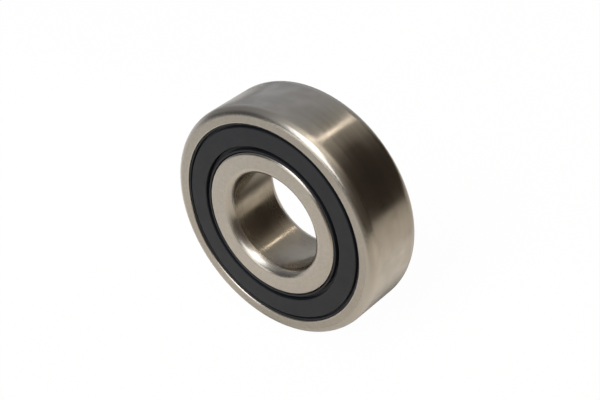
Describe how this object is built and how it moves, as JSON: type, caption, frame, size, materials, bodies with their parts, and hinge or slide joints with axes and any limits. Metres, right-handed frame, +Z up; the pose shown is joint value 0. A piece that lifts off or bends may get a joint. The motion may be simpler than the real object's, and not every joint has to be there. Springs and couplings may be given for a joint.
{
  "type": "ball bearing",
  "caption": "Sealed deep groove ball bearing with ground steel rings, caged balls and rubber seals, which carries a turning shaft in a housing.",
  "frame": {"origin": "middle of the bore, halfway between the two ring faces", "axes": "+Y along the bearing's axis from the front face to the rear face, +Z up with the bearing standing on its rim"},
  "size_m": [0.047, 0.014, 0.047],
  "materials": {
    "ring_steel": "ground",
    "ball_steel": "polished",
    "cage_steel": "pressed",
    "rivet_steel": "satin",
    "seal_rubber": "matte",
    "insert_steel": "satin"
  },
  "bodies": {
    "outer": {"outer_ring": "ring_steel", "seal_front_rubber": "seal_rubber", "seal_front_insert": "insert_steel", "seal_rear_rubber": "seal_rubber", "seal_rear_insert": "insert_steel"},
    "inner": {"inner_ring": "ring_steel"},
    "cage": {"cage_front_half": "cage_steel", "cage_rear_half": "cage_steel", "cage_rivet_1": "rivet_steel", "cage_rivet_2": "rivet_steel", "cage_rivet_3": "rivet_steel", "cage_rivet_4": "rivet_steel", "cage_rivet_5": "rivet_steel", "cage_rivet_6": "rivet_steel", "cage_rivet_7": "rivet_steel", "cage_rivet_8": "rivet_steel"},
    "ball_1": {"ball_1": "ball_steel"},
    "ball_2": {"ball_2": "ball_steel"},
    "ball_3": {"ball_3": "ball_steel"},
    "ball_4": {"ball_4": "ball_steel"},
    "ball_5": {"ball_5": "ball_steel"},
    "ball_6": {"ball_6": "ball_steel"},
    "ball_7": {"ball_7": "ball_steel"},
    "ball_8": {"ball_8": "ball_steel"}
  },
  "joints": [
    {"name": "inner_spin", "type": "hinge", "parent": "outer", "child": "inner", "pos_m": [0, 0, 0], "axis": [0, 1, 0], "continuous": true},
    {"name": "cage_spin", "type": "hinge", "parent": "outer", "child": "cage", "pos_m": [0, 0, 0], "axis": [0, 1, 0], "continuous": true},
    {"name": "ball_1_spin", "type": "hinge", "parent": "cage", "child": "ball_1", "pos_m": [0, 0, 0.01675], "axis": [0, 1, 0], "continuous": true},
    {"name": "ball_2_spin", "type": "hinge", "parent": "cage", "child": "ball_2", "pos_m": [-0.01184, 0, 0.01184], "axis": [0, 1, 0], "continuous": true},
    {"name": "ball_3_spin", "type": "hinge", "parent": "cage", "child": "ball_3", "pos_m": [-0.01675, 0, 0], "axis": [0, 1, 0], "continuous": true},
    {"name": "ball_4_spin", "type": "hinge", "parent": "cage", "child": "ball_4", "pos_m": [-0.01184, 0, -0.01184], "axis": [0, 1, 0], "continuous": true},
    {"name": "ball_5_spin", "type": "hinge", "parent": "cage", "child": "ball_5", "pos_m": [0, 0, -0.01675], "axis": [0, 1, 0], "continuous": true},
    {"name": "ball_6_spin", "type": "hinge", "parent": "cage", "child": "ball_6", "pos_m": [0.01184, 0, -0.01184], "axis": [0, 1, 0], "continuous": true},
    {"name": "ball_7_spin", "type": "hinge", "parent": "cage", "child": "ball_7", "pos_m": [0.01675, 0, 0], "axis": [0, 1, 0], "continuous": true},
    {"name": "ball_8_spin", "type": "hinge", "parent": "cage", "child": "ball_8", "pos_m": [0.01184, 0, 0.01184], "axis": [0, 1, 0], "continuous": true}
  ],
  "couplings": [
    {"joint": "cage_spin", "follows": "inner_spin", "ratio": 0.38152},
    {"joint": "ball_1_spin", "follows": "inner_spin", "ratio": -1.9916},
    {"joint": "ball_2_spin", "follows": "inner_spin", "ratio": -1.9916},
    {"joint": "ball_3_spin", "follows": "inner_spin", "ratio": -1.9916},
    {"joint": "ball_4_spin", "follows": "inner_spin", "ratio": -1.9916},
    {"joint": "ball_5_spin", "follows": "inner_spin", "ratio": -1.9916},
    {"joint": "ball_6_spin", "follows": "inner_spin", "ratio": -1.9916},
    {"joint": "ball_7_spin", "follows": "inner_spin", "ratio": -1.9916},
    {"joint": "ball_8_spin", "follows": "inner_spin", "ratio": -1.9916}
  ]
}
